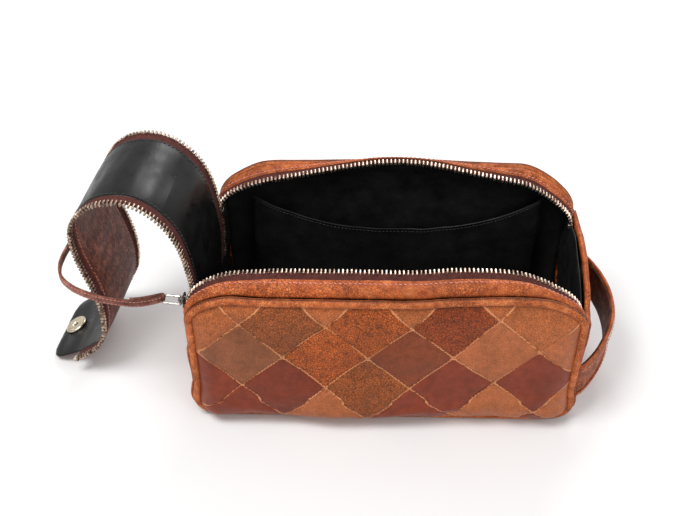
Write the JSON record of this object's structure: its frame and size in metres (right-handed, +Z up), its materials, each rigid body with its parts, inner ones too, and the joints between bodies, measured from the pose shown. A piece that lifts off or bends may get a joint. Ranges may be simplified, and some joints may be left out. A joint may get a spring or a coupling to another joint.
{
  "type": "shaving kit bag",
  "caption": "Zip-top leather wash bag standing open, with a long zip-off flap curled to the side, a pull thong, a slip pocket, a magnetic snap and a side handle.",
  "frame": {"origin": "middle of the flat base, where the bag stands", "axes": "+X along the bag towards its handle end, +Y from the front panel to the back panel, +Z up"},
  "size_m": [0.387, 0.1308, 0.1637],
  "materials": {
    "patchwork_leather": "waxed pebbled cowhide in tan, brown and oxblood diamonds",
    "trim_leather": "cognac tan, semi gloss, pebbled",
    "flap_leather": "dark reddish brown, creased",
    "handle_leather": "tan, semi gloss",
    "thong_leather": "brown, dull, stitched",
    "lining_nylon": "black nylon, soft sheen",
    "zip_tape": "woven dark maroon",
    "antique_brass": "antique brass, worn bright on the edges",
    "slider_metal": "dark antique nickel",
    "puller_wire": "nickel",
    "snap_metal": "pale nickel",
    "piping_cord": "cotton"
  },
  "bodies": {
    "bag": {"front_panel": "patchwork_leather", "back_panel": "patchwork_leather", "front_lining": "lining_nylon", "back_lining": "lining_nylon", "gusset": "trim_leather", "gusset_lining": "lining_nylon", "front_piping": "trim_leather", "back_piping": "trim_leather", "front_piping_cord": "piping_cord", "back_piping_cord": "piping_cord", "front_zip_band": "trim_leather", "back_zip_band": "trim_leather", "front_zip_tape": "zip_tape", "back_zip_tape": "zip_tape", "front_zip_teeth": "antique_brass", "back_zip_teeth": "antique_brass", "zip_stops": "antique_brass", "slip_pocket": "lining_nylon", "side_handle": "handle_leather", "snap_stud": "snap_metal", "snap_stud_back": "snap_metal", "flap_root_leather": "flap_leather", "flap_root_lining": "lining_nylon", "flap_root_zip": "antique_brass"},
    "flap_1": {"flap_leather_1": "flap_leather", "flap_lining_1": "lining_nylon", "flap_zip_1": "antique_brass"},
    "flap_2": {"flap_leather_2": "flap_leather", "flap_lining_2": "lining_nylon", "flap_zip_2": "antique_brass"},
    "flap_3": {"flap_leather_3": "flap_leather", "flap_lining_3": "lining_nylon", "flap_zip_3": "antique_brass"},
    "flap_4": {"flap_leather_4": "flap_leather", "flap_lining_4": "lining_nylon", "flap_zip_4": "antique_brass"},
    "flap_5": {"flap_leather_5": "flap_leather", "flap_lining_5": "lining_nylon", "flap_zip_5": "antique_brass"},
    "flap_6": {"flap_leather_6": "flap_leather", "flap_lining_6": "lining_nylon", "flap_zip_6": "antique_brass"},
    "flap_7": {"flap_leather_7": "flap_leather", "flap_lining_7": "lining_nylon", "flap_zip_7": "antique_brass"},
    "flap_8": {"flap_leather_8": "flap_leather", "flap_lining_8": "lining_nylon", "flap_zip_8": "antique_brass", "flap_zip_stops": "antique_brass"},
    "flap_9": {"flap_leather_9": "flap_leather", "flap_lining_9": "lining_nylon", "snap_socket": "snap_metal", "snap_socket_back": "snap_metal"},
    "front_slider": {"front_slider": "slider_metal"},
    "back_slider": {"back_slider": "slider_metal"},
    "front_puller": {"front_puller": "puller_wire", "pull_strap": "thong_leather"},
    "back_puller": {"back_puller": "puller_wire"}
  },
  "joints": [
    {"name": "flap_fold_1", "type": "hinge", "parent": "bag", "child": "flap_1", "pos_m": [-0.1217, 0, 0.0905], "axis": [0.0761, 0.9884, 0.1317], "range_deg": [0, 60.58]},
    {"name": "flap_fold_2", "type": "hinge", "parent": "flap_1", "child": "flap_2", "pos_m": [-0.12942, 0.0012, 0.13482], "axis": [0.153, 0.9882, 0], "range_deg": [0, 64.02]},
    {"name": "flap_fold_3", "type": "hinge", "parent": "flap_2", "child": "flap_3", "pos_m": [-0.15166, 0.00464, 0.16163], "axis": [0.153, 0.9882, 0], "range_deg": [0, 54.02]},
    {"name": "flap_fold_4", "type": "hinge", "parent": "flap_3", "child": "flap_4", "pos_m": [-0.1803, 0.00907, 0.16264], "axis": [0.153, 0.9882, 0], "range_deg": [0, 44.02]},
    {"name": "flap_fold_5", "type": "hinge", "parent": "flap_4", "child": "flap_5", "pos_m": [-0.20306, 0.0126, 0.1419], "axis": [0.153, 0.9882, 0], "range_deg": [0, 46.02]},
    {"name": "flap_fold_6", "type": "hinge", "parent": "flap_5", "child": "flap_6", "pos_m": [-0.2042, 0.01277, 0.10892], "axis": [0.153, 0.9882, 0], "range_deg": [0, 21.02]},
    {"name": "flap_fold_7", "type": "hinge", "parent": "flap_6", "child": "flap_7", "pos_m": [-0.19076, 0.01069, 0.06707], "axis": [-0.153, -0.9882, 0], "range_deg": [0, 19.02]},
    {"name": "flap_fold_8", "type": "hinge", "parent": "flap_7", "child": "flap_8", "pos_m": [-0.19197, 0.01088, 0.03209], "axis": [0.153, 0.9882, 0], "range_deg": [0, 20.02]},
    {"name": "flap_fold_9", "type": "hinge", "parent": "flap_8", "child": "flap_9", "pos_m": [-0.20916, 0.01354, 0.01277], "axis": [-0.153, -0.9882, 0], "range_deg": [0, 1.02]},
    {"name": "front_zip_run", "type": "slide", "parent": "bag", "child": "front_slider", "axis": [0.0333, 0, -0.9994], "range_m": [0, 0.022]},
    {"name": "back_zip_run", "type": "slide", "parent": "bag", "child": "back_slider", "axis": [0.0333, 0, -0.9994], "range_m": [0, 0.022]},
    {"name": "front_puller_swing", "type": "hinge", "parent": "front_slider", "child": "front_puller", "pos_m": [-0.13283, -0.03892, 0.08433], "axis": [0.1543, 0.9803, 0.1235], "range_deg": [-12, 2]},
    {"name": "back_puller_swing", "type": "hinge", "parent": "back_slider", "child": "back_puller", "pos_m": [-0.12033, 0.04048, 0.09433], "axis": [0.1543, 0.9803, 0.1235], "range_deg": [-12, 12]}
  ],
  "couplings": [
    {"joint": "flap_fold_2", "follows": "flap_fold_1", "ratio": 1.0564},
    {"joint": "flap_fold_3", "follows": "flap_fold_1", "ratio": 0.89138},
    {"joint": "flap_fold_4", "follows": "flap_fold_1", "ratio": 0.72631},
    {"joint": "flap_fold_5", "follows": "flap_fold_1", "ratio": 0.75933},
    {"joint": "flap_fold_6", "follows": "flap_fold_1", "ratio": 0.34665},
    {"joint": "flap_fold_7", "follows": "flap_fold_1", "ratio": 0.31363},
    {"joint": "flap_fold_8", "follows": "flap_fold_1", "ratio": 0.33014},
    {"joint": "flap_fold_9", "follows": "flap_fold_1", "ratio": 0.01651},
    {"joint": "back_zip_run", "follows": "front_zip_run", "ratio": 1}
  ]
}
